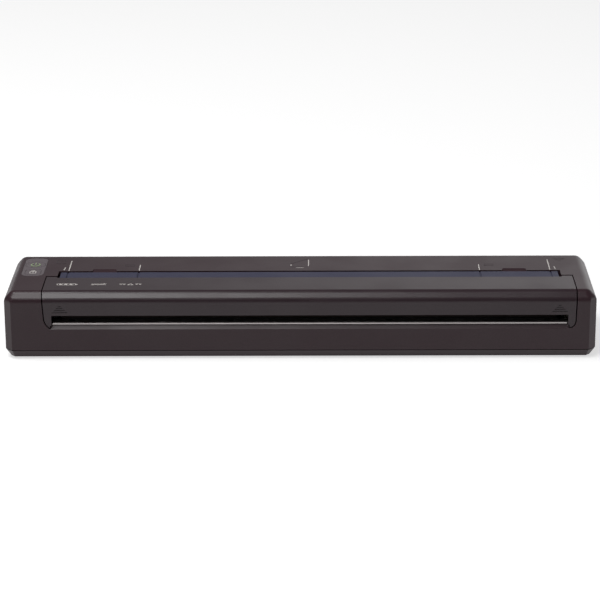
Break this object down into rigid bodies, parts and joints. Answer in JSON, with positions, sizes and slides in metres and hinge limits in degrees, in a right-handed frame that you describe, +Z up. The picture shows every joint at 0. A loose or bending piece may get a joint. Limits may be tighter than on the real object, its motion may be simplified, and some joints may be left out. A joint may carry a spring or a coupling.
{
  "type": "portable thermal printer",
  "caption": "Slim bar-shaped A4 thermal printer with a hinged release cover over its roller, a feed slot in the deck, an exit slot with a tear bar, two keys and a battery door.",
  "frame": {"origin": "on the resting surface, under the middle of the body", "axes": "+X along the roller to the right as seen from the exit slot, +Y to the rear, +Z up"},
  "size_m": [0.255, 0.055, 0.03],
  "materials": {
    "case": "fine matt texture",
    "cover": "fine matt texture",
    "guide_blue": "satin",
    "pad_grey": "matt",
    "rubber_black": "matt",
    "steel": "brushed",
    "zinc_sheet": "satin",
    "aluminium": "satin",
    "head_ceramic": "glazed",
    "black_plastic": "matt",
    "gear_white": "satin",
    "bush_plastic": "satin",
    "lens": "gloss",
    "board_green": "satin",
    "battery_sleeve": "satin",
    "cable_white": "satin",
    "brass": "satin"
  },
  "bodies": {
    "base": {"bottom_case": "case", "upper_case": "case", "feet": "rubber_black", "case_screws": "steel", "hinge_pins": "steel", "tear_bar": "steel", "tear_bar_screws": "steel", "gear_studs": "steel", "gear_clips": "steel", "motor": "zinc_sheet", "motor_screws": "steel", "print_frame": "zinc_sheet", "frame_screws": "steel", "head_springs": "steel", "head_guide_pins": "steel", "lower_guide": "black_plastic", "paper_sensor": "black_plastic", "battery_pack": "battery_sleeve", "battery_contacts": "brass", "main_board": "board_green", "driver_board": "board_green", "board_screws": "steel", "board_parts": "black_plastic", "board_cable": "cable_white", "usb_port": "steel", "dc_jack": "black_plastic", "button_bezel": "pad_grey", "button_board": "board_green", "button_switches": "black_plastic", "button_board_screws": "steel"},
    "cover": {"release_cover": "cover", "paper_guide": "guide_blue", "guide_screws": "steel", "light_pipes": "lens", "platen_bushes": "bush_plastic"},
    "platen": {"platen_shaft": "steel", "platen_rubber": "rubber_black", "platen_gear": "gear_white"},
    "drive_wheel": {"drive_gear": "gear_white"},
    "idler_wheel": {"idler_gear": "gear_white"},
    "motor_rotor": {"motor_shaft": "steel", "motor_pinion": "brass"},
    "head": {"heat_sink": "aluminium", "thermal_head": "head_ceramic", "driver_cover": "black_plastic"},
    "power_key": {"power_button": "pad_grey"},
    "feed_key": {"feed_button": "pad_grey"},
    "battery_flap": {"battery_door": "case"}
  },
  "joints": [
    {"name": "cover_hinge", "type": "hinge", "parent": "base", "child": "cover", "pos_m": [0, -0.0015, 0.027], "axis": [-1, 0, 0], "range_deg": [0, 80]},
    {"name": "platen_spin", "type": "hinge", "parent": "cover", "child": "platen", "pos_m": [0.11555, -0.014, 0.0221], "axis": [1, 0, 0], "continuous": true},
    {"name": "drive_spin", "type": "hinge", "parent": "base", "child": "drive_wheel", "pos_m": [0.11555, -0.0098, 0.01139], "axis": [1, 0, 0], "continuous": true},
    {"name": "idler_spin", "type": "hinge", "parent": "base", "child": "idler_wheel", "pos_m": [0.11555, 0.0036, 0.01299], "axis": [1, 0, 0], "continuous": true},
    {"name": "motor_spin", "type": "hinge", "parent": "base", "child": "motor_rotor", "pos_m": [0.11555, 0.01306, 0.01389], "axis": [1, 0, 0], "continuous": true},
    {"name": "head_float", "type": "slide", "parent": "base", "child": "head", "axis": [0, 0, -1], "range_m": [0, 0.0004], "stiffness_N_per_m": 2000, "springref_m": -0.002},
    {"name": "power_press", "type": "slide", "parent": "base", "child": "power_key", "axis": [0, 0, -1], "range_m": [0, 0.0005], "stiffness_N_per_m": 1000, "springref_m": -0.0002},
    {"name": "feed_press", "type": "slide", "parent": "base", "child": "feed_key", "axis": [0, 0, -1], "range_m": [0, 0.0005], "stiffness_N_per_m": 1000, "springref_m": -0.0002},
    {"name": "door_hinge", "type": "hinge", "parent": "base", "child": "battery_flap", "pos_m": [0, 0.0265, 0.0072], "axis": [-1, 0, 0], "range_deg": [0, 90]}
  ],
  "couplings": [
    {"joint": "drive_spin", "follows": "platen_spin", "ratio": -0.64286},
    {"joint": "idler_spin", "follows": "platen_spin", "ratio": 0.69231},
    {"joint": "motor_spin", "follows": "platen_spin", "ratio": -1.5}
  ]
}
